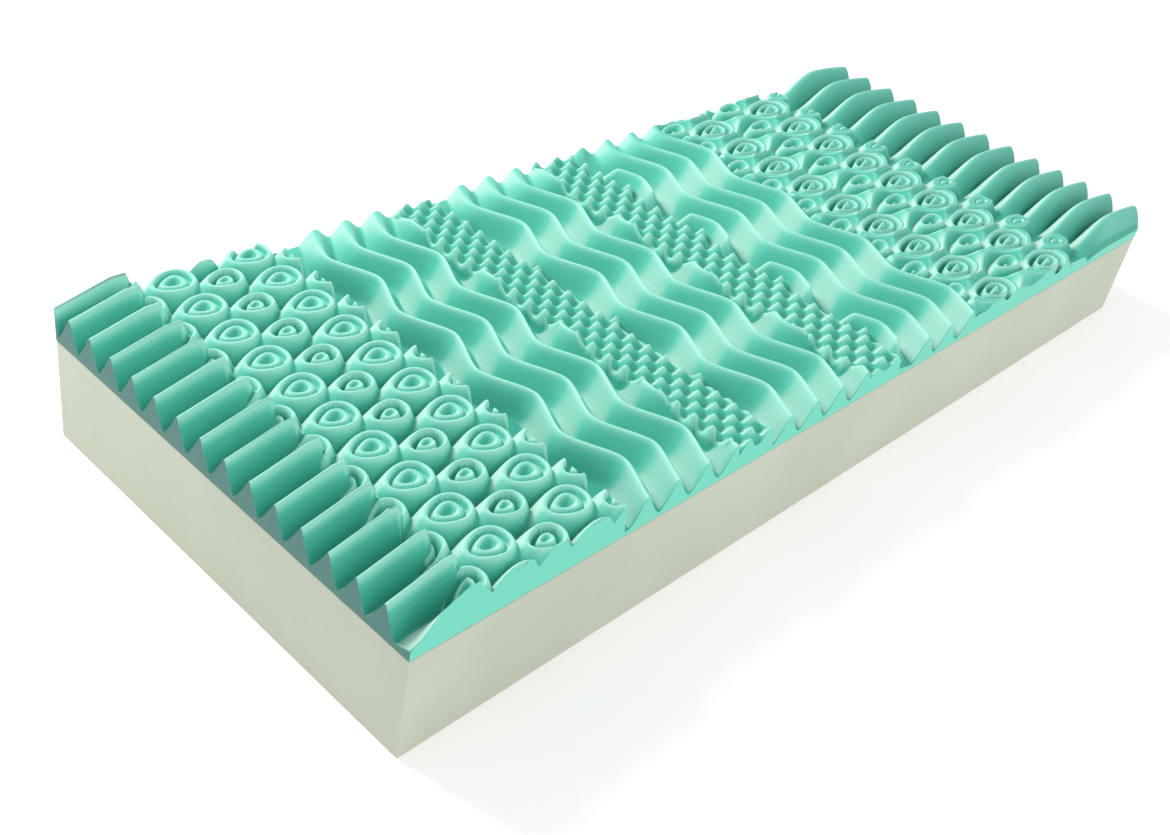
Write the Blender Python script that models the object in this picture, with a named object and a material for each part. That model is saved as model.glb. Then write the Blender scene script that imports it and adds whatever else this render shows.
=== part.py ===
"""Memory foam mattress core: cream foam block, glue film and a teal foam layer with a cut relief.

The relief is one height function over the plan of the mattress. Along the length it holds
straight ridges, raised rosettes, waves, small peaks, waves, small peaks, waves, sunken rosettes
and straight ridges. The layer is made as a grid, moved by the height function, closed to a solid
and then reduced to few faces for the CAD model.
"""
import math

import bpy
import bmesh
import numpy as np
from mathutils import Vector

# ---------------------------------------------------------------- driving dimensions (metres)
LENGTH = 2.000
WIDTH = 0.800
BASE_THICKNESS = 0.176
GLUE_THICKNESS = 0.0008
GLUE_INSET = 0.0010
GAP = 0.0003
RELIEF_MAX = 0.080

GRID_X = 250
GRID_Y = 104
TARGET_TRIANGLES = 8600

# spacings of the cut pattern; the rosettes repeat nine times over one turn of the cutting roller
ROLLER_TURN = 0.7990
ROSETTE_PITCH = ROLLER_TURN / 9.0
WAVE_PERIOD = ROLLER_TURN / 4.0
PEAK_PITCH = 0.0391
WAVE_SPACING = 0.0660
RAISED_SPACING = 0.0746
SUNKEN_SPACING = 0.0843
FAN = (0.01453, 1.10096, -0.00716, 0.00896, 0.00859, 1.15314, 0.09025, 0.02067)


# ---------------------------------------------------------------- the relief
def ease(t):
    t = np.clip(t, 0.0, 1.0)
    return t * t * (3.0 - 2.0 * t)


def blend(a, b, t):
    return a + (b - a) * ease(t)


def smooth_max(a, b, width):
    """Larger of two heights, with the crease between them rounded."""
    d = np.abs(a - b)
    return np.maximum(a, b) + 0.25 * np.clip(width - d, 0.0, None) ** 2 / width


def smooth_min(a, b, width):
    return -smooth_max(-a, -b, width)


def cusp(t, power, soft):
    """1 on a crest at t = 0, 0 in a valley at t = 1; the crest is rounded over soft."""
    t = np.clip(np.abs(t), 0.0, 1.0)
    t = (np.sqrt(t * t + soft * soft) - soft) / (math.sqrt(1.0 + soft * soft) - soft)
    return (1.0 - t) ** power


def profile(r, knots):
    """Height over the radius, through knots of (radius, height, is_crest, power, soft)."""
    out = np.full_like(r, knots[0][1])
    for a, b in zip(knots[:-1], knots[1:]):
        inside = (r >= a[0]) & (r < b[0])
        s = (r - a[0]) / (b[0] - a[0])
        if a[2]:
            h = b[1] + (a[1] - b[1]) * cusp(s, a[3], a[4])
        else:
            h = a[1] + (b[1] - a[1]) * cusp(1.0 - s, b[3], b[4])
        out = np.where(inside, h, out)
    return np.where(r >= knots[-1][0], knots[-1][1], out)


def lattice_offset(v, origin, pitch):
    q = (v - origin) / pitch
    return (q - np.round(q)) * pitch


def ridge_rows(y, crests, valleys, power, soft):
    """Cross-section of straight ridges: 1 on every crest, 0 in every valley."""
    stops = np.sort(np.concatenate([crests, valleys]))
    first = 0.0 if stops[0] in crests else 1.0
    phase = np.interp(y, stops, first + np.arange(len(stops)))
    t = np.abs(phase - 2.0 * np.round(0.5 * phase))
    return cusp(t, power, soft)


def zigzag(v, origin):
    """Path of the wave crests across the width."""
    ph = 2.0 * np.pi * (v - origin) / WAVE_PERIOD
    return 0.0172 * np.arcsin(0.83 * np.cos(ph)) / math.asin(0.83)


def waves(u, v, first, origin, before=0.0):
    """Cross-section of the waves: thin crests and broad round troughs.

    before is the share of the crest that is left ahead of the first full one.
    """
    s = (u - first - zigzag(v, origin)) / WAVE_SPACING
    t = 2.0 * np.abs(s - np.round(s))
    return cusp(t, 1.55, 0.13) * np.where(s < -0.5, before, 1.0)


def rounded(w, share):
    """Waves with wider, rounder crests where share is 1."""
    return w + share * (1.0 - (1.0 - w) ** 1.6 - w)


def small_peaks(u, v, column, spacing, origin):
    a = np.cos(np.pi * (u - column) / spacing)
    b = np.cos(2.0 * np.pi * (v - origin) / PEAK_PITCH)
    w = 0.5 + 0.5 * a * b
    return 0.35 * w + 0.65 * w ** 2.0


def near_vertex(v, origin, shift, width):
    """1 beside one vertex of every wave, 0 elsewhere."""
    return np.exp(-(lattice_offset(v, origin + shift, WAVE_PERIOD) / width) ** 2)


def island(x, before, peaks, after, start, stop, fall_left, fall_right):
    """Strip of small peaks between two bands of waves, with fingers that reach into the troughs."""
    left = smooth_max(before, peaks - fall_left * np.clip(start - x, 0.0, None), 0.004)
    right = smooth_max(after, peaks - fall_right * np.clip(x - stop, 0.0, None), 0.004)
    h = blend(left, peaks, (x - start) / 0.006)
    return blend(h, right, (x - stop) / 0.006 + 1.0)


LARGE = (
    (0.00, 0.0465, False, 0, 0),
    (0.18, 0.0465, False, 0, 0),
    (0.44, 0.0575, True, 1.1, 0.30),
    (0.54, 0.0575, True, 1.2, 0.25),
    (0.76, 0.0480, False, 0, 0),
    (0.93, 0.0600, True, 1.2, 0.30),
    (1.00, 0.0600, True, 1.0, 0.18),
    (1.66, 0.0200, False, 0, 0),
)
SMALL = (
    (0.00, 0.0490, False, 0, 0),
    (0.12, 0.0490, False, 0, 0),
    (0.34, 0.0545, True, 1.1, 0.30),
    (0.42, 0.0545, True, 1.2, 0.20),
    (0.68, 0.0330, False, 0, 0),
    (0.94, 0.0590, True, 1.3, 0.25),
    (1.00, 0.0590, True, 1.0, 0.18),
    (1.80, 0.0200, False, 0, 0),
)
CUP = (
    (0.00, 0.0520, True, 0.9, 0.12),
    (0.38, 0.0260, False, 0, 0),
    (0.66, 0.0450, True, 1.1, 0.20),
    (0.92, 0.0190, False, 0, 0),
    (1.22, 0.0465, True, 1.3, 0.60),
    (1.34, 0.0445, False, 0, 0),
    (2.05, 0.0610, True, 1.2, 0.10),
)
EYE = (
    (0.00, 0.0480, True, 1.0, 0.20),
    (0.34, 0.0360, False, 0, 0),
    (0.78, 0.0550, True, 1.2, 0.20),
    (1.20, 0.0350, False, 0, 0),
    (2.05, 0.0610, True, 1.2, 0.10),
)


def rosette(u, v, uc, vc, half_u, half_v, knots, tilt):
    du = (u - uc) / half_u
    dv = lattice_offset(v, vc, ROSETTE_PITCH) / half_v
    ang = np.arctan2(dv, du)
    r = np.sqrt(du * du + dv * dv)
    r = r * (1.0 + (0.05 + 0.08 * np.clip(1.0 - r, 0.0, 1.0)) * np.cos(3.0 * ang))
    # the outer side falls gently on one side and steeply on the other
    r = np.where(r > 1.0, 1.0 + (r - 1.0) * (1.0 - tilt * np.cos(ang - 0.75 * np.pi)), r)
    return profile(r, knots)


def raised_rosettes(u, v):
    out = np.full_like(u, 0.0200)
    for k in (-1, 0, 1, 2, 3):
        uc = 0.2001 + RAISED_SPACING * k
        if k % 2 == 0:
            h = rosette(u, v, uc, 0.0736, 0.0365, 0.0305, LARGE, 0.25)
        else:
            h = rosette(u, v, uc, 0.1242, 0.0310, 0.0240, SMALL, 0.35)
        out = smooth_max(out, h, 0.005)
    return out


def sunken_rosettes(u, v):
    out = np.full_like(u, 0.0605)
    for k in (-1, 0, 1, 2, 3):
        uc = 1.4010 + SUNKEN_SPACING * k
        if k % 2 == 0:
            h = rosette(u, v, uc, 0.0464, 0.0375, 0.0262, CUP, 0.30)
        else:
            h = rosette(u, v, uc, 0.0830, 0.0345, 0.0210, EYE, 0.10)
        out = smooth_min(out, h, 0.005)
    return out


def mound(u, v, uc, vc, half_u, half_v, top, start, fall):
    """Height that falls away outside one column of rosettes."""
    du = (u - uc) / half_u
    dv = lattice_offset(v, vc, ROSETTE_PITCH) / half_v
    return top - fall * np.clip(np.hypot(du, dv) - start, 0.0, None)


def relief(x, y):
    """Height of the relief over the glue line, x along the length and y across, both from 0."""
    w = 1.0 + FAN[6] * x + FAN[7] * y
    u = (FAN[0] + FAN[1] * x + FAN[2] * y) / w
    v = (FAN[3] + FAN[4] * x + FAN[5] * y) / w

    # straight ridges at the near end
    rows = np.arange(-1, 16)
    valleys = 0.0295 + 0.0545 * rows
    crests = valleys + 0.0215
    crests[15:] = (0.7990, 0.8600)
    valleys[16] = 0.8300
    top = np.interp(x, (0.0, 0.012, 0.090, 0.160), (0.056, 0.059, 0.080, 0.080))
    top = np.where(y < 0.0295, np.interp(x, (0.0, 0.02, 0.045, 0.085), (0.017, 0.031, 0.062, 0.080)), top)
    near = 0.009 + (top - 0.009) * ridge_rows(y, crests, valleys, 1.25, 0.06)

    raised = raised_rosettes(u, v)
    sunken = sunken_rosettes(u, v)

    # the last sunken rosettes fall away to a low strip before the far ridges
    column = 1.4010 + SUNKEN_SPACING * 2.0
    limit = mound(u, v, column, 0.0464, 0.0375, 0.0262, 0.051, 1.32, 0.060)
    last = mound(u, v, column + SUNKEN_SPACING, 0.0830, 0.0345, 0.0210, 0.041, 0.90, 0.030)
    limit = np.maximum(np.maximum(limit, last), 0.016)
    sunken = blend(sunken, smooth_min(sunken, limit, 0.004), (u - 1.585) / 0.020)

    # waves, with shallower troughs along the far side, and small peaks
    side = ease((y - 0.70) / 0.09)
    trough = 0.008 + 0.022 * side
    shell = ease(2.0 * near_vertex(v, 0.096, 0.0, 0.055))
    wave_a = trough + (0.052 - trough) * rounded(waves(u, v, 0.4766, 0.1010), side)
    wave_b = trough + (0.052 - trough) * rounded(waves(u, v, 0.8021, 0.0970), side)
    wave_c = trough + (0.052 - trough) * rounded(waves(u, v, 1.1718, 0.0960, shell), side)
    peaks_a = 0.030 + 0.022 * small_peaks(u, v, 0.6878, 0.0239, 0.1711)
    peaks_b = 0.030 + 0.022 * small_peaks(u, v, 1.0160, 0.0262, 0.1667)

    # straight ridges at the far end
    rows = np.arange(-1, 14)
    crests = 0.0268 + 0.0595 * rows + 0.0055 * np.maximum(rows - 4, 0)
    valleys = 0.5 * (crests[1:] + crests[:-1])
    rise = 1.0 - (1.0 - np.clip((x - 1.764) / 0.106, 0.0, 1.0)) ** 2.2
    fall = np.clip((x - 1.870) / 0.130, 0.0, 1.0) ** 1.5
    domes = 1.0 - (1.0 - ridge_rows(y, crests, valleys, 1.0, 0.0)) ** 1.75
    far = 0.009 + (0.003 + 0.065 * rise - 0.015 * fall) * domes

    # the zones follow each other along the length
    edge = x - 0.012 * y
    ends = near - 2.5 * np.clip(edge - 0.106, 0.0, None)
    h = smooth_max(ends, raised - 1.2 * np.clip(0.112 - edge, 0.0, None), 0.004)
    h = blend(h, wave_a, (edge - 0.375) / 0.007)
    fall_right = 5.0 - 4.4 * near_vertex(v, 0.097, 0.090, 0.012)
    middle = island(edge, wave_a, peaks_a, wave_b, 0.622, 0.713, 4.0, fall_right)
    h = np.where(x > 0.50, middle, h)
    fall_right = 5.0 - 4.7 * near_vertex(v, 0.096, 0.004, 0.050)
    middle = island(edge, wave_b, peaks_b, wave_c, 0.968, 1.066, 4.0, fall_right)
    h = np.where(x > 0.85, middle, h)
    h = blend(h, sunken, (u - 1.304 - zigzag(v, 0.0960)) / 0.012)
    h = blend(h, far, (x - 1.758) / 0.012)
    return np.clip(h, 0.005, RELIEF_MAX)


# ---------------------------------------------------------------- scene helpers
def clear_scene():
    for ob in list(bpy.data.objects):
        bpy.data.objects.remove(ob, do_unlink=True)


def new_material(name, colour, roughness):
    mat = bpy.data.materials.new(name)
    mat.use_nodes = True
    shader = mat.node_tree.nodes["Principled BSDF"]
    shader.inputs["Base Color"].default_value = (*colour, 1.0)
    shader.inputs["Roughness"].default_value = roughness
    return mat


def add_object(name, bm, mat, collection):
    mesh = bpy.data.meshes.new(name)
    bm.to_mesh(mesh)
    bm.free()
    mesh.materials.append(mat)
    ob = bpy.data.objects.new(name, mesh)
    collection.objects.link(ob)
    return ob


def make_box(name, size, centre, mat, collection):
    bm = bmesh.new()
    bmesh.ops.create_cube(bm, size=1.0)
    bmesh.ops.scale(bm, vec=Vector(size), verts=bm.verts)
    bmesh.ops.translate(bm, vec=Vector(centre), verts=bm.verts)
    return add_object(name, bm, mat, collection)


def apply_modifiers(ob):
    graph = bpy.context.evaluated_depsgraph_get()
    done = bpy.data.meshes.new_from_object(ob.evaluated_get(graph))
    old = ob.data
    ob.modifiers.clear()
    ob.vertex_groups.clear()
    ob.data = done
    done.name = ob.name
    bpy.data.meshes.remove(old)


def keep_inside(bm, top):
    """Keep every vertex within the plan outline of the mattress and not above its top."""
    for vert in bm.verts:
        vert.co.z = min(vert.co.z, top)
        for axis, half in ((0, 0.5 * LENGTH), (1, 0.5 * WIDTH)):
            limit = half if vert.is_boundary else half - 0.001
            vert.co[axis] = max(-limit, min(limit, vert.co[axis]))


def make_relief_layer(name, underside, mat, collection):
    # flat grid in the plan of the mattress, raised by the height function
    bm = bmesh.new()
    bmesh.ops.create_grid(bm, x_segments=GRID_X, y_segments=GRID_Y, size=0.5)
    bmesh.ops.scale(bm, vec=Vector((LENGTH, WIDTH, 1.0)), verts=bm.verts)
    co = np.array([vert.co[:] for vert in bm.verts])
    height = relief(co[:, 0] + 0.5 * LENGTH, co[:, 1] + 0.5 * WIDTH)
    for vert, rise in zip(bm.verts, height):
        vert.co.z = underside + float(rise)
    bmesh.ops.triangulate(bm, faces=bm.faces)
    faces = len(bm.faces)
    inner = [vert.index for vert in bm.verts if not vert.is_boundary]
    ob = add_object(name, bm, mat, collection)

    # fewer faces for the CAD model, with the rim left as it is
    group = ob.vertex_groups.new(name="inner")
    group.add(inner, 1.0, 'REPLACE')
    thin = ob.modifiers.new("fewer faces", 'DECIMATE')
    thin.decimate_type = 'COLLAPSE'
    thin.ratio = TARGET_TRIANGLES / faces
    thin.vertex_group = group.name
    apply_modifiers(ob)

    # straight sides down to the glue line and a flat underside
    bm = bmesh.new()
    bm.from_mesh(ob.data)
    keep_inside(bm, underside + RELIEF_MAX)
    rim = [edge for edge in bm.edges if edge.is_boundary]
    grown = bmesh.ops.extrude_edge_only(bm, edges=rim)
    low = [item for item in grown["geom"] if isinstance(item, bmesh.types.BMVert)]
    for vert in low:
        vert.co.z = underside
    border = [edge for edge in bm.edges if edge.is_boundary]
    bmesh.ops.contextual_create(bm, geom=border)
    bmesh.ops.triangulate(bm, faces=bm.faces)
    bmesh.ops.recalc_face_normals(bm, faces=bm.faces)
    bm.to_mesh(ob.data)
    bm.free()
    return ob


def main():
    clear_scene()
    parts = bpy.data.collections.new("memory_foam_mattress")
    bpy.context.scene.collection.children.link(parts)

    cream = new_material("cream_foam", (0.62, 0.63, 0.50), 0.95)
    glue = new_material("dried_glue", (0.45, 0.30, 0.22), 0.60)
    teal = new_material("teal_memory_foam", (0.14, 0.62, 0.50), 0.90)

    base_top = BASE_THICKNESS
    glue_low = base_top + GAP
    relief_low = glue_low + GLUE_THICKNESS + GAP

    make_box("base_foam_block", (LENGTH, WIDTH, BASE_THICKNESS),
             (0.0, 0.0, 0.5 * BASE_THICKNESS), cream, parts)
    make_box("adhesive_film",
             (LENGTH - 2.0 * GLUE_INSET, WIDTH - 2.0 * GLUE_INSET, GLUE_THICKNESS),
             (0.0, 0.0, glue_low + 0.5 * GLUE_THICKNESS), glue, parts)
    make_relief_layer("relief_foam_layer", relief_low, teal, parts)


main()
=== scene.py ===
"""Looks of a memory foam mattress core: a cream foam block, a glue line and a teal relief layer.

The relief is one height function over the plan of the mattress, read on a fine grid and closed
to a solid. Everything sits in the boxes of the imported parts.
"""

import math

import bmesh
import bpy
import numpy as np
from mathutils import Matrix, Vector


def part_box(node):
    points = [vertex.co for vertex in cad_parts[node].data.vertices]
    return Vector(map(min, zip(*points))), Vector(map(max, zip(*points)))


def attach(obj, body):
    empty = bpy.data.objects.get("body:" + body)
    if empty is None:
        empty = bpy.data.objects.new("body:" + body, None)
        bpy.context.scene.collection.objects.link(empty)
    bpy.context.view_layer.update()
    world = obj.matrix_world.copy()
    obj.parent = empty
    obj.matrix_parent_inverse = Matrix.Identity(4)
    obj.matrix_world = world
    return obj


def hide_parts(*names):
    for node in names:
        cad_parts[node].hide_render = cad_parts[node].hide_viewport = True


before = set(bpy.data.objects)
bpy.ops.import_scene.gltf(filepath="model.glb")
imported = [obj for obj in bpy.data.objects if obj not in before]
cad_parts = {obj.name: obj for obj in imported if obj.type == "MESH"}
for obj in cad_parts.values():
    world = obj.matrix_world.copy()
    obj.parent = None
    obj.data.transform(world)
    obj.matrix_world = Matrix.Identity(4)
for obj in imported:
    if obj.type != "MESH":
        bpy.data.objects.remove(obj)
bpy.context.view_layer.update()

# ---------------------------------------------------------------- sizes (metres)
GLUE_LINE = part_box("relief_foam_layer")[0].z
BASE_LOW, BASE_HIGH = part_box("base_foam_block")
LENGTH = BASE_HIGH.x - BASE_LOW.x
WIDTH = BASE_HIGH.y - BASE_LOW.y
SAWN_EDGE = 0.002

CELLS_X, CELLS_Y = ((1000, 400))

# heights over the glue line
LOWEST, HIGHEST = 0.005, 0.080
RIDGE_VALLEY = 0.009
WAVE_TROUGH, WAVE_CREST, TROUGH_RISE = 0.008, 0.052, 0.022
PEAKS_LOW, PEAKS_RISE = 0.030, 0.022
RAISED_FLOOR = 0.0200
SUNKEN_PLATEAU = 0.0605
LOW_STRIP = 0.016

# where the zones change along the length, and over what length
NEAR_RIDGES_END, RAISED_START = 0.106, 0.112
WAVES_START, WAVES_STEP = 0.375, 0.007
STRIP_A, STRIP_B, STRIP_STEP = (0.622, 0.713), (0.968, 1.066), 0.006
HALF_WAY_A, HALF_WAY_B = 0.50, 0.85
SUNKEN_START, SUNKEN_STEP = 1.304, 0.012
LAST_CUPS, LAST_CUPS_STEP = 1.585, 0.020
FAR_RIDGES_START, FAR_RIDGES_STEP = 1.758, 0.012
ZONE_LEAN = 0.012

# slopes of the near ridges' ends and of the first rosettes beside them
RIDGE_FALL, ROSETTE_RISE = 2.5, 1.2

# strip along the far side where the waves are lower and rounder
FAR_SIDE, FAR_SIDE_STEP = 0.70, 0.09

# rounding of the creases between two zones, and between two rosettes
ZONE_CREASE, ROSETTE_CREASE = 0.004, 0.005

# repeats of the pattern across the width, and its spacings along the length
ROLLER_TURN = 0.7990
ROSETTE_PITCH = ROLLER_TURN / 9.0
WAVE_PERIOD = ROLLER_TURN / 4.0
WAVE_SWING = 0.0172
PEAK_PITCH = 0.0391
WAVE_SPACING = 0.0660
RAISED_FIRST, RAISED_SPACING = 0.2001, 0.0746
SUNKEN_FIRST, SUNKEN_SPACING = 1.4010, 0.0843
COLUMNS = (-1, 0, 1, 2, 3)

# bands of waves: first crest along the length, a vertex across the width
WAVES_A = (0.4766, 0.1010)
WAVES_B = (0.8021, 0.0970)
WAVES_C = (1.1718, 0.0960)

# strips of small peaks: a column along the length, its spacing, a peak across the width
PEAKS_A = (0.6878, 0.0239, 0.1711)
PEAKS_B = (1.0160, 0.0262, 0.1667)

# projective map from the plan of the mattress to the pattern's, whose columns fan out a little
FAN = (0.01453, 1.10096, -0.00716, 0.00896, 0.00859, 1.15314, 0.09025, 0.02067)

# sections of the rosettes, as (radius, height, is a crest, power of its flank, softness of its top)
LARGE = (
    (0.00, 0.0465, False, 0, 0),
    (0.18, 0.0465, False, 0, 0),
    (0.44, 0.0575, True, 1.1, 0.30),
    (0.54, 0.0575, True, 1.2, 0.25),
    (0.76, 0.0480, False, 0, 0),
    (0.93, 0.0600, True, 1.2, 0.30),
    (1.00, 0.0600, True, 1.0, 0.18),
    (1.66, 0.0200, False, 0, 0),
)
SMALL = (
    (0.00, 0.0490, False, 0, 0),
    (0.12, 0.0490, False, 0, 0),
    (0.34, 0.0545, True, 1.1, 0.30),
    (0.42, 0.0545, True, 1.2, 0.20),
    (0.68, 0.0330, False, 0, 0),
    (0.94, 0.0590, True, 1.3, 0.25),
    (1.00, 0.0590, True, 1.0, 0.18),
    (1.80, 0.0200, False, 0, 0),
)
CUP = (
    (0.00, 0.0520, True, 0.9, 0.12),
    (0.38, 0.0260, False, 0, 0),
    (0.66, 0.0450, True, 1.1, 0.20),
    (0.92, 0.0190, False, 0, 0),
    (1.22, 0.0465, True, 1.3, 0.60),
    (1.34, 0.0445, False, 0, 0),
    (2.05, 0.0610, True, 1.2, 0.10),
)
EYE = (
    (0.00, 0.0480, True, 1.0, 0.20),
    (0.34, 0.0360, False, 0, 0),
    (0.78, 0.0550, True, 1.2, 0.20),
    (1.20, 0.0350, False, 0, 0),
    (2.05, 0.0610, True, 1.2, 0.10),
)

# rosettes: a centre across the width, half length, half width, section, lean of the outer side
RAISED_KINDS = (
    (0.0736, 0.0365, 0.0305, LARGE, 0.25),
    (0.1242, 0.0310, 0.0240, SMALL, 0.35),
)
SUNKEN_KINDS = (
    (0.0464, 0.0375, 0.0262, CUP, 0.30),
    (0.0830, 0.0345, 0.0210, EYE, 0.10),
)

# height of the near ridges along the length: (places), (heights)
NEAR_TOP = (0.0, 0.012, 0.090, 0.160), (0.056, 0.059, 0.080, 0.080)
CORNER_TOP = (0.0, 0.02, 0.045, 0.085), (0.017, 0.031, 0.062, 0.080)

# zones of the painted valley shade along the length: start, its step, stop, its step
BETWEEN_ENDS = (0.10, 0.08, 1.79, 0.04)
RAISED_ZONE = (0.10, 0.04, 0.40, 0.03)
FIRST_TROUGHS = (0.36, 0.03, 0.475, 0.04)
PEAK_ZONES = (0.61, 0.02, 0.76, 0.02), (0.95, 0.02, 1.11, 0.02)
SUNKEN_ZONE, SUNKEN_ZONE_STEP = 1.33, 0.03
FAR_ZONE, FAR_ZONE_STEP = 1.74, 0.04


# ---------------------------------------------------------------- the relief
def ease(t):
    """Smooth step from 0 at t = 0 to 1 at t = 1."""
    t = np.clip(t, 0.0, 1.0)
    return t * t * (3.0 - 2.0 * t)


def blend(a, b, t):
    return a + (b - a) * ease(t)


def smooth_max(a, b, width):
    """Larger of two heights, with the crease between them rounded."""
    d = np.abs(a - b)
    return np.maximum(a, b) + 0.25 * np.clip(width - d, 0.0, None) ** 2 / width


def smooth_min(a, b, width):
    return -smooth_max(-a, -b, width)


def cusp(t, power, soft):
    """1 on a crest at t = 0, 0 in a valley at t = 1; the crest is rounded over soft."""
    t = np.clip(np.abs(t), 0.0, 1.0)
    t = (np.sqrt(t * t + soft * soft) - soft) / (math.sqrt(1.0 + soft * soft) - soft)
    return (1.0 - t) ** power


def profile(r, knots):
    """Height over the radius, through the knots of one section."""
    out = np.full_like(r, knots[0][1])
    for a, b in zip(knots[:-1], knots[1:]):
        inside = (r >= a[0]) & (r < b[0])
        s = (r - a[0]) / (b[0] - a[0])
        if a[2]:
            h = b[1] + (a[1] - b[1]) * cusp(s, a[3], a[4])
        else:
            h = a[1] + (b[1] - a[1]) * cusp(1.0 - s, b[3], b[4])
        out = np.where(inside, h, out)
    return np.where(r >= knots[-1][0], knots[-1][1], out)


def lattice_offset(v, origin, pitch):
    """Signed distance to the nearest of the points origin + n * pitch."""
    q = (v - origin) / pitch
    return (q - np.round(q)) * pitch


def ridge_rows(y, crests, valleys, power, soft):
    """Cross-section of straight ridges: 1 on every crest, 0 in every valley."""
    stops = np.sort(np.concatenate([crests, valleys]))
    first = 0.0 if stops[0] in crests else 1.0
    phase = np.interp(y, stops, first + np.arange(len(stops)))
    t = np.abs(phase - 2.0 * np.round(0.5 * phase))
    return cusp(t, power, soft)


def near_ridges(x, y):
    """Pointed ridges at the near end; the first, halved by the long cut, is low at its corner."""
    first_valley, pitch, crest_shift = 0.0295, 0.0545, 0.0215
    rows = np.arange(-1, 16)
    valleys = first_valley + pitch * rows
    crests = valleys + crest_shift
    # the last crest stands right at the far side
    crests[15:] = (0.7990, 0.8600)
    valleys[16] = 0.8300
    top = np.where(y < first_valley, np.interp(x, *CORNER_TOP), np.interp(x, *NEAR_TOP))
    return RIDGE_VALLEY + (top - RIDGE_VALLEY) * ridge_rows(y, crests, valleys, 1.25, 0.06)


def far_ridges(x, y):
    """Domed ridges at the far end, which rise steeply, turn over and sink a little."""
    first_crest, pitch, growth = 0.0268, 0.0595, 0.0055
    start, summit, end = 1.764, 1.870, 2.000
    rows = np.arange(-1, 14)
    crests = first_crest + pitch * rows + growth * np.maximum(rows - 4, 0)
    valleys = 0.5 * (crests[1:] + crests[:-1])
    rise = 1.0 - (1.0 - np.clip((x - start) / (summit - start), 0.0, 1.0)) ** 2.2
    fall = np.clip((x - summit) / (end - summit), 0.0, 1.0) ** 1.5
    domes = 1.0 - (1.0 - ridge_rows(y, crests, valleys, 1.0, 0.0)) ** 1.75
    return RIDGE_VALLEY + (0.003 + 0.065 * rise - 0.015 * fall) * domes


def zigzag(v, origin):
    """Path of the wave crests across the width: a triangle wave with rounded corners."""
    corner = 0.83
    turn = 2.0 * np.pi * (v - origin) / WAVE_PERIOD
    return WAVE_SWING * np.arcsin(corner * np.cos(turn)) / math.asin(corner)


def waves(u, v, band, before=0.0):
    """Cross-section of a band of waves: thin crests and broad round troughs.

    before is the share of the crest that is left ahead of the first full one.
    """
    first, origin = band
    s = (u - first - zigzag(v, origin)) / WAVE_SPACING
    t = 2.0 * np.abs(s - np.round(s))
    return cusp(t, 1.55, 0.13) * np.where(s < -0.5, before, 1.0)


def wave_height(u, v, band, side, before=0.0):
    """Height of a band of waves; side is 1 along the far side, where they are rounder."""
    w = waves(u, v, band, before)
    w = w + side * (1.0 - (1.0 - w) ** 1.6 - w)
    trough = WAVE_TROUGH + TROUGH_RISE * side
    return trough + (WAVE_CREST - trough) * w


def peaks_height(u, v, strip):
    """Height of a strip of small staggered peaks."""
    column, spacing, origin = strip
    a = np.cos(np.pi * (u - column) / spacing)
    b = np.cos(2.0 * np.pi * (v - origin) / PEAK_PITCH)
    w = 0.5 + 0.5 * a * b
    return PEAKS_LOW + PEAKS_RISE * (0.35 * w + 0.65 * w ** 2.0)


def near_vertex(v, origin, width):
    """1 beside one vertex of every wave, 0 elsewhere."""
    return np.exp(-(lattice_offset(v, origin, WAVE_PERIOD) / width) ** 2)


def island(x, before, peaks, after, strip, fall_right):
    """Strip of small peaks between two bands of waves, with fingers that reach into the troughs."""
    start, stop = strip
    fall_left = 4.0
    left = smooth_max(before, peaks - fall_left * np.clip(start - x, 0.0, None), ZONE_CREASE)
    right = smooth_max(after, peaks - fall_right * np.clip(x - stop, 0.0, None), ZONE_CREASE)
    h = blend(left, peaks, (x - start) / STRIP_STEP)
    return blend(h, right, (x - stop) / STRIP_STEP + 1.0)


def rosette_place(u, v, uc, kind):
    """Offsets from the nearest rosette of the column at uc, in its half sizes."""
    vc, half_u, half_v = kind[:3]
    return (u - uc) / half_u, lattice_offset(v, vc, ROSETTE_PITCH) / half_v


def rosette(u, v, uc, kind):
    """Height of one column of rosettes."""
    knots, tilt = kind[3:]
    du, dv = rosette_place(u, v, uc, kind)
    ang = np.arctan2(dv, du)
    r = np.sqrt(du * du + dv * dv)
    # slightly three-cornered, the more so towards the middle
    r = r * (1.0 + (0.05 + 0.08 * np.clip(1.0 - r, 0.0, 1.0)) * np.cos(3.0 * ang))
    # the outer side falls gently on one side and steeply on the other
    r = np.where(r > 1.0, 1.0 + (r - 1.0) * (1.0 - tilt * np.cos(ang - 0.75 * np.pi)), r)
    return profile(r, knots)


def rosette_field(u, v, level, first, spacing, kinds, join):
    """Staggered columns of two kinds of rosette, joined to each other and to a flat level."""
    out = np.full_like(u, level)
    for k in COLUMNS:
        out = join(out, rosette(u, v, first + spacing * k, kinds[k % 2]), ROSETTE_CREASE)
    return out


def mound(u, v, uc, kind, top, start, fall):
    """Height that falls away outside one column of rosettes."""
    du, dv = rosette_place(u, v, uc, kind)
    return top - fall * np.clip(np.hypot(du, dv) - start, 0.0, None)


def sunken_height(u, v):
    """Sunken rosettes, the last of which fall away to a low strip before the far ridges."""
    h = rosette_field(u, v, SUNKEN_PLATEAU, SUNKEN_FIRST, SUNKEN_SPACING, SUNKEN_KINDS, smooth_min)
    column = SUNKEN_FIRST + SUNKEN_SPACING * 2.0
    cups = mound(u, v, column, SUNKEN_KINDS[0], 0.051, 1.32, 0.060)
    eyes = mound(u, v, column + SUNKEN_SPACING, SUNKEN_KINDS[1], 0.041, 0.90, 0.030)
    limit = np.maximum(np.maximum(cups, eyes), LOW_STRIP)
    return blend(h, smooth_min(h, limit, ZONE_CREASE), (u - LAST_CUPS) / LAST_CUPS_STEP)


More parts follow.
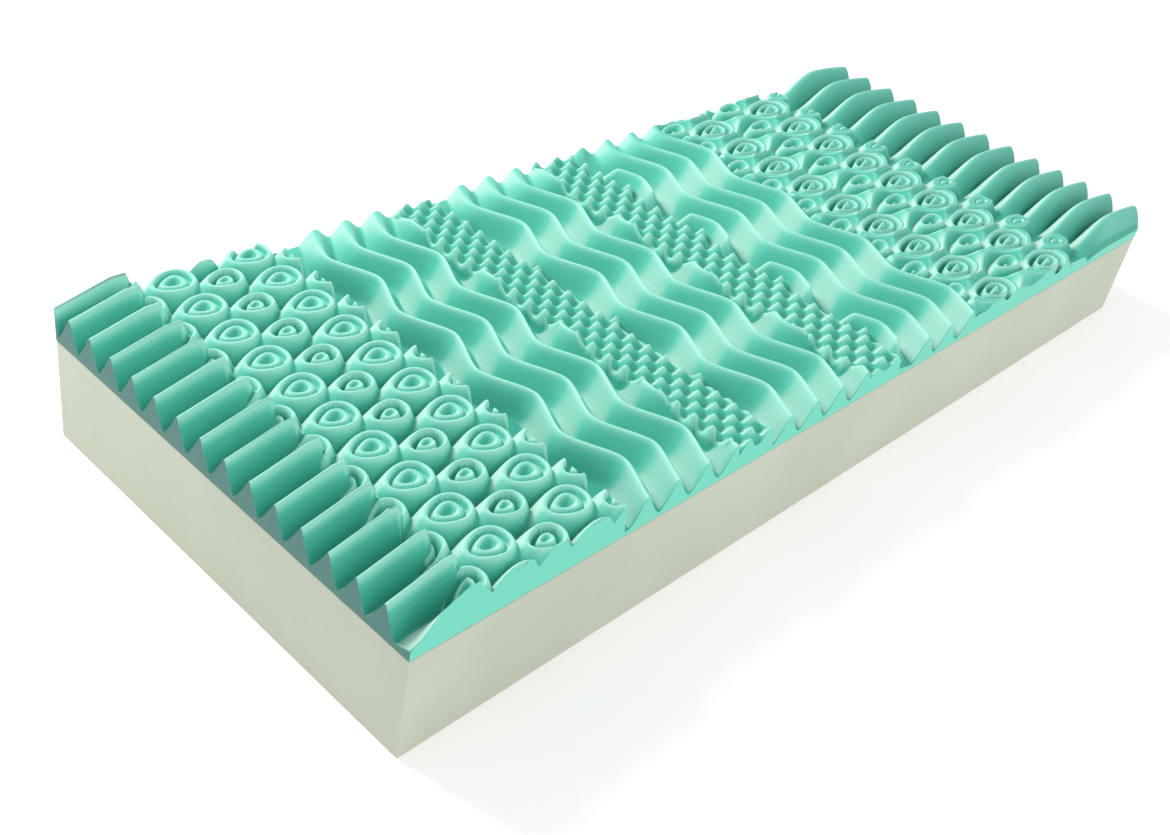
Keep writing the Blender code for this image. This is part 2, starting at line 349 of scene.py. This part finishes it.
def relief(x, y):
    """Height of the relief over the glue line, x along the length and y across, both from 0."""
    w = 1.0 + FAN[6] * x + FAN[7] * y
    u = (FAN[0] + FAN[1] * x + FAN[2] * y) / w
    v = (FAN[3] + FAN[4] * x + FAN[5] * y) / w

    near = near_ridges(x, y)
    raised = rosette_field(u, v, RAISED_FLOOR, RAISED_FIRST, RAISED_SPACING, RAISED_KINDS, smooth_max)
    side = ease((y - FAR_SIDE) / FAR_SIDE_STEP)
    shell = ease(2.0 * near_vertex(v, WAVES_C[1], 0.055))
    wave_a = wave_height(u, v, WAVES_A, side)
    wave_b = wave_height(u, v, WAVES_B, side)
    wave_c = wave_height(u, v, WAVES_C, side, shell)
    peaks_a = peaks_height(u, v, PEAKS_A)
    peaks_b = peaks_height(u, v, PEAKS_B)

    # the zones follow each other along the length
    edge = x - ZONE_LEAN * y
    near = near - RIDGE_FALL * np.clip(edge - NEAR_RIDGES_END, 0.0, None)
    raised = raised - ROSETTE_RISE * np.clip(RAISED_START - edge, 0.0, None)
    h = smooth_max(near, raised, ZONE_CREASE)
    h = blend(h, wave_a, (edge - WAVES_START) / WAVES_STEP)
    fall_right = 5.0 - 4.4 * near_vertex(v, WAVES_B[1] + 0.090, 0.012)
    strip = island(edge, wave_a, peaks_a, wave_b, STRIP_A, fall_right)
    h = np.where(x > HALF_WAY_A, strip, h)
    fall_right = 5.0 - 4.7 * near_vertex(v, WAVES_C[1] + 0.004, 0.050)
    strip = island(edge, wave_b, peaks_b, wave_c, STRIP_B, fall_right)
    h = np.where(x > HALF_WAY_B, strip, h)
    h = blend(h, sunken_height(u, v), (u - SUNKEN_START - zigzag(v, WAVES_C[1])) / SUNKEN_STEP)
    h = blend(h, far_ridges(x, y), (x - FAR_RIDGES_START) / FAR_RIDGES_STEP)
    return np.clip(h, LOWEST, HIGHEST)


def painted_crest_highlight_share(height, step):
    """Share of the painted crest highlight: how far each point stands over the points around it."""
    bend = np.zeros_like(height)
    for n in (1, 2, 3):
        pad = np.pad(height, n, mode="edge")
        along = pad[2 * n:, n:-n] + pad[:-2 * n, n:-n]
        mean = 0.25 * (along + pad[n:-n, 2 * n:] + pad[n:-n, :-2 * n])
        bend += (height - mean) / (n * step)
    return np.clip(bend / 1.5, 0.0, 1.0)


def window(x, start, start_width, stop, stop_width):
    """1 between start and stop, with eased flanks inside them."""
    return ease((x - start) / start_width) * ease((stop - x) / stop_width)


def painted_valley_shade_share(x, height):
    """Share of the painted valley shade, darker the deeper a point lies; it reaches highest between
    the straight ridges.
    """
    between = window(x, *BETWEEN_ENDS)
    ends = 1.0 - between
    far_end = ease((x - FAR_ZONE) / FAR_ZONE_STEP)
    depth = 0.062 + 0.034 * far_end - height
    share = np.clip(ends * depth / (0.050 + 0.016 * far_end), 0.0, 1.0) * 0.85

    raised = window(x, *RAISED_ZONE)
    first = window(x, *FIRST_TROUGHS)
    peaks = window(x, *PEAK_ZONES[0]) + window(x, *PEAK_ZONES[1])
    sunken = ease((x - SUNKEN_ZONE) / SUNKEN_ZONE_STEP) * between
    floor = 0.034 + 0.014 * sunken + 0.013 * peaks + 0.016 * raised + 0.008 * first
    most = 0.45 + 0.30 * sunken + 0.15 * peaks + 0.25 * raised + 0.30 * first
    return np.maximum(share, np.clip(between * (floor - height) / 0.030, 0.0, 1.0) * most)


# ---------------------------------------------------------------- materials
def node(tree, kind, **values):
    """New node; each value goes to the input of that name, or else to the node's property."""
    n = tree.nodes.new(kind)
    for key, value in values.items():
        if key in n.inputs:
            n.inputs[key].default_value = value
        else:
            setattr(n, key, value)
    return n


def new_material(name):
    """Material with its node tree, its shader and the object's own coordinates."""
    mat = bpy.data.materials.new(name)
    mat.use_nodes = True
    tree = mat.node_tree
    coord = node(tree, "ShaderNodeTexCoord").outputs["Object"]
    return mat, tree, tree.nodes["Principled BSDF"], coord


def texture(tree, kind, coord, **values):
    n = node(tree, kind, **values)
    tree.links.new(coord, n.inputs["Vector"])
    return n


def cloudy(tree, coord, dark, light, **values):
    """Colour that drifts between two tones in soft clouds."""
    cloud = texture(tree, "ShaderNodeTexNoise", coord, **values)
    tones = tree.nodes.new("ShaderNodeValToRGB")
    for element, position, colour in zip(tones.color_ramp.elements, (0.3, 0.7), (dark, light)):
        element.position = position
        element.color = (*colour, 1.0)
    tree.links.new(cloud.outputs["Fac"], tones.inputs["Fac"])
    return tones.outputs["Color"]


def mix(tree, share, a, colour):
    """Colour a, mixed with a plain colour by the share."""
    n = node(tree, "ShaderNodeMix", data_type="RGBA")
    tree.links.new(share, n.inputs[0])
    tree.links.new(a, n.inputs[6])
    n.inputs[7].default_value = (*colour, 1.0)
    return n.outputs[2]


def bump(tree, height, strength, distance, normal=None):
    n = node(tree, "ShaderNodeBump", Strength=strength, Distance=distance)
    tree.links.new(height, n.inputs["Height"])
    if normal is not None:
        tree.links.new(normal, n.inputs["Normal"])
    return n.outputs["Normal"]


def foam_cells(tree, coord, scale):
    """Bump of the open cells of a foam."""
    cells = texture(tree, "ShaderNodeTexVoronoi", coord, Scale=scale)
    return bump(tree, cells.outputs["Distance"], 0.25, 0.0006)


def finish(shader, **values):
    """Uniform values, straight on the shader's own sockets."""
    for key, value in values.items():
        shader.inputs[key.replace("_", " ")].default_value = value


# painted light and shade: tints of the four sawn sides of the teal layer, by axis and direction, lit
# or shaded by the way each side faces
SAWN_SIDE_LIGHT_AND_SHADE = (
    ("X", -1.0, (0.052, 0.185, 0.160)),
    ("X", 1.0, (0.085, 0.360, 0.290)),
    ("Y", -1.0, (0.145, 0.640, 0.490)),
    ("Y", 1.0, (0.100, 0.420, 0.330)),
)
SQUARE_ON = 0.999
# painted shade down in the valleys
PAINTED_VALLEY_SHADE = (0.014, 0.310, 0.228)
# painted light on the slopes that face the key light
PAINTED_LIGHT_COLOUR = (0.57, 0.80, 0.71)
# painted highlight along the crests
PAINTED_CREST_HIGHLIGHT = (0.34, 0.76, 0.64)
# direction of the key light, for the painted light on the slopes
PAINTED_LIGHT_DIRECTION = (-0.36, 0.72, 0.59)


def teal_foam():
    mat, tree, shader, coord = new_material("teal_memory_foam_look")
    base = cloudy(tree, coord, (0.082, 0.525, 0.400), (0.102, 0.575, 0.440),
                  Scale=9.0, Detail=3.0, Roughness=0.5)

    # painted shade: deeper green down in the valleys
    valley = node(tree, "ShaderNodeAttribute", attribute_name="valley")
    base = mix(tree, valley.outputs["Fac"], base, PAINTED_VALLEY_SHADE)

    # painted light: paler on the slopes that face the key light, and a painted highlight along the
    # crests
    geometry = node(tree, "ShaderNodeNewGeometry")
    toward_painted_light = node(tree, "ShaderNodeVectorMath", operation="DOT_PRODUCT")
    tree.links.new(geometry.outputs["Normal"], toward_painted_light.inputs[0])
    toward_painted_light.inputs[1].default_value = PAINTED_LIGHT_DIRECTION
    painted_light_share = node(tree, "ShaderNodeMapRange", interpolation_type="SMOOTHSTEP")
    for socket, value in (("From Min", 0.70), ("From Max", 1.0), ("To Max", 0.90)):
        painted_light_share.inputs[socket].default_value = value
    tree.links.new(toward_painted_light.outputs["Value"], painted_light_share.inputs["Value"])
    base = mix(tree, painted_light_share.outputs["Result"], base, PAINTED_LIGHT_COLOUR)
    # painted highlight along the crests
    crest = node(tree, "ShaderNodeAttribute", attribute_name="crest")
    base = mix(tree, crest.outputs["Fac"], base, PAINTED_CREST_HIGHLIGHT)

    # painted light and shade on the sawn sides, by their flat normal
    facing = node(tree, "ShaderNodeSeparateXYZ")
    tree.links.new(geometry.outputs["True Normal"], facing.inputs[0])
    for axis, sign, colour in SAWN_SIDE_LIGHT_AND_SHADE:
        side = node(tree, "ShaderNodeMath", operation="MULTIPLY")
        side.inputs[1].default_value = sign
        tree.links.new(facing.outputs[axis], side.inputs[0])
        cut = node(tree, "ShaderNodeMath", operation="GREATER_THAN")
        cut.inputs[1].default_value = SQUARE_ON
        tree.links.new(side.outputs[0], cut.inputs[0])
        base = mix(tree, cut.outputs[0], base, colour)
    tree.links.new(base, shader.inputs["Base Color"])

    grain = texture(tree, "ShaderNodeTexNoise", coord, Scale=240.0, Detail=2.0)
    normal = bump(tree, grain.outputs["Fac"], 0.2, 0.001, foam_cells(tree, coord, 620.0))
    tree.links.new(normal, shader.inputs["Normal"])
    finish(shader, Roughness=0.58, Specular_IOR_Level=0.4, Sheen_Weight=0.05)
    return mat


def cream_foam():
    mat, tree, shader, coord = new_material("cream_foam_look")
    base = cloudy(tree, coord, (0.500, 0.545, 0.440), (0.555, 0.590, 0.485),
                  Scale=4.0, Detail=4.0, Roughness=0.55)
    tree.links.new(base, shader.inputs["Base Color"])
    tree.links.new(foam_cells(tree, coord, 520.0), shader.inputs["Normal"])
    finish(shader, Roughness=0.9, Specular_IOR_Level=0.2)
    return mat


def glue():
    mat, tree, shader, coord = new_material("dried_glue_look")
    base = cloudy(tree, coord, (0.42, 0.30, 0.22), (0.62, 0.50, 0.38),
                  Scale=30.0, Detail=4.0, Roughness=0.6)
    tree.links.new(base, shader.inputs["Base Color"])
    finish(shader, Roughness=0.6)
    return mat


def paper():
    mat, tree, shader, coord = new_material("floor_look")
    base = cloudy(tree, coord, (0.93, 0.93, 0.93), (0.95, 0.95, 0.95), Scale=2.0, Detail=2.0)
    tree.links.new(base, shader.inputs["Base Color"])
    finish(shader, Roughness=0.9, Emission_Color=(1.0, 1.0, 1.0, 1.0), Emission_Strength=0.22)
    return mat


# ---------------------------------------------------------------- geometry
def link(ob):
    bpy.context.scene.collection.objects.link(ob)
    return ob


def point_attribute(mesh, name, values):
    """Value of each point of the top grid, and 0 on the points after it."""
    filled = np.zeros(len(mesh.vertices), dtype=np.float32)
    filled[:values.size] = values.ravel()
    mesh.attributes.new(name, "FLOAT", "POINT").data.foreach_set("value", filled)


def relief_mesh(name, mat):
    """The relief read on the grid, closed by sawn walls and a flat underside on the glue line."""
    xs = np.linspace(0.0, LENGTH, CELLS_X + 1)
    ys = np.linspace(0.0, WIDTH, CELLS_Y + 1)
    gx, gy = np.meshgrid(xs, ys, indexing="ij")
    height = relief(gx, gy)
    top = np.stack([gx + BASE_LOW.x, gy + BASE_LOW.y, height + GLUE_LINE], -1).reshape(-1, 3)

    row = CELLS_Y + 1
    i, j = np.meshgrid(np.arange(CELLS_X), np.arange(CELLS_Y), indexing="ij")
    corner = (i * row + j).ravel()
    quads = np.stack([corner, corner + row, corner + row + 1, corner + 1], -1)

    # rim of the grid, in order, and its copy on the glue line
    rim = np.concatenate([
        np.arange(CELLS_X) * row,
        CELLS_X * row + np.arange(CELLS_Y),
        np.arange(CELLS_X, 0, -1) * row + CELLS_Y,
        np.arange(CELLS_Y, 0, -1),
    ])
    low = top[rim].copy()
    low[:, 2] = GLUE_LINE
    base = len(top)
    k = np.arange(len(rim))
    after = (k + 1) % len(rim)
    walls = np.stack([base + k, base + after, rim[after], rim[k]], -1)
    points = np.concatenate([top, low])
    quads = np.concatenate([quads, walls])
    loops = np.concatenate([quads.ravel(), base + k[::-1]])
    starts = np.arange(len(quads) + 1) * 4

    mesh = bpy.data.meshes.new(name)
    mesh.vertices.add(len(points))
    mesh.vertices.foreach_set("co", points.astype(np.float32).ravel())
    mesh.loops.add(len(loops))
    mesh.loops.foreach_set("vertex_index", loops.astype(np.int32))
    mesh.polygons.add(len(starts))
    mesh.polygons.foreach_set("loop_start", starts.astype(np.int32))
    mesh.update(calc_edges=True)
    mesh.validate()
    smooth = np.ones(len(mesh.polygons), dtype=bool)
    smooth[-(len(rim) + 1):] = False
    mesh.polygons.foreach_set("use_smooth", smooth)
    # painted highlight along the crests, carried by the attribute crest
    point_attribute(mesh, "crest", painted_crest_highlight_share(height, LENGTH / CELLS_X))
    # painted shade down in the valleys, carried by the attribute valley
    point_attribute(mesh, "valley", painted_valley_shade_share(gx, height))
    mesh.materials.append(mat)
    return link(bpy.data.objects.new(name, mesh))


def soft_box(name, low, high, mat, radius):
    """Box with every edge rounded by the radius."""
    bm = bmesh.new()
    bmesh.ops.create_cube(bm, size=1.0)
    bmesh.ops.scale(bm, vec=high - low, verts=bm.verts)
    bmesh.ops.translate(bm, vec=0.5 * (low + high), verts=bm.verts)
    bmesh.ops.bevel(bm, geom=bm.edges[:], offset=radius, segments=3, affect="EDGES", profile=0.5)
    mesh = bpy.data.meshes.new(name)
    bm.to_mesh(mesh)
    bm.free()
    mesh.materials.append(mat)
    mesh.shade_smooth()
    mesh.set_sharp_from_angle(angle=math.radians(40.0))
    return link(bpy.data.objects.new(name, mesh))


layer = relief_mesh("memory_foam_layer", teal_foam())
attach(layer, "root")
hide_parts("relief_foam_layer")

core = soft_box("cream_foam_core", BASE_LOW.copy(), BASE_HIGH.copy(), cream_foam(), SAWN_EDGE)
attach(core, "root")
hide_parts("base_foam_block")

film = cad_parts["adhesive_film"]
film.data.materials.clear()
film.data.materials.append(glue())

# ---------------------------------------------------------------- floor, light and camera
FLOOR_HALF = 12.0
WORLD_STRENGTH = 0.72
# lights: name, place, target, diameter, power
LIGHTS = (
    ("key", (-1.2, 3.0, 3.2), (0.0, 0.0, 0.2), 1.6, 150.0),
    ("fill", (0.4, -4.2, 1.4), (0.0, 0.0, 0.1), 3.0, 38.0),
)
CAMERA_PLACE = (-1.8312, -1.2125, 1.4143)
CAMERA_TURN = (53.573, -9.380, -46.018)
CAMERA_LENS, CAMERA_SENSOR, CAMERA_REACH = 42.96, 36.0, 60.0

floor_mesh = bpy.data.meshes.new("floor")
corners = [(x * FLOOR_HALF, y * FLOOR_HALF, 0) for x, y in ((-1, -1), (1, -1), (1, 1), (-1, 1))]
floor_mesh.from_pydata(corners, [], [(0, 1, 2, 3)])
floor_mesh.materials.append(paper())
floor = link(bpy.data.objects.new("floor", floor_mesh))

world = bpy.data.worlds.new("studio")
bpy.context.scene.world = world
world.use_nodes = True
backdrop = world.node_tree.nodes["Background"]
backdrop.inputs["Color"].default_value = (1.0, 1.0, 1.0, 1.0)
backdrop.inputs["Strength"].default_value = WORLD_STRENGTH

for name, place, target, diameter, power in LIGHTS:
    lamp = bpy.data.lights.new(name, "AREA")
    lamp.shape = "DISK"
    lamp.size = diameter
    lamp.energy = power
    light = link(bpy.data.objects.new(name, lamp))
    light.location = place
    light.rotation_euler = (Vector(target) - Vector(place)).to_track_quat("-Z", "Y").to_euler()

cam_data = bpy.data.cameras.new("camera")
cam_data.sensor_width = CAMERA_SENSOR
cam_data.lens = CAMERA_LENS
cam_data.clip_end = CAMERA_REACH
camera = link(bpy.data.objects.new("camera", cam_data))
camera.location = CAMERA_PLACE
camera.rotation_euler = [math.radians(angle) for angle in CAMERA_TURN]
bpy.context.scene.camera = camera
bpy.context.scene.view_settings.view_transform = "Standard"
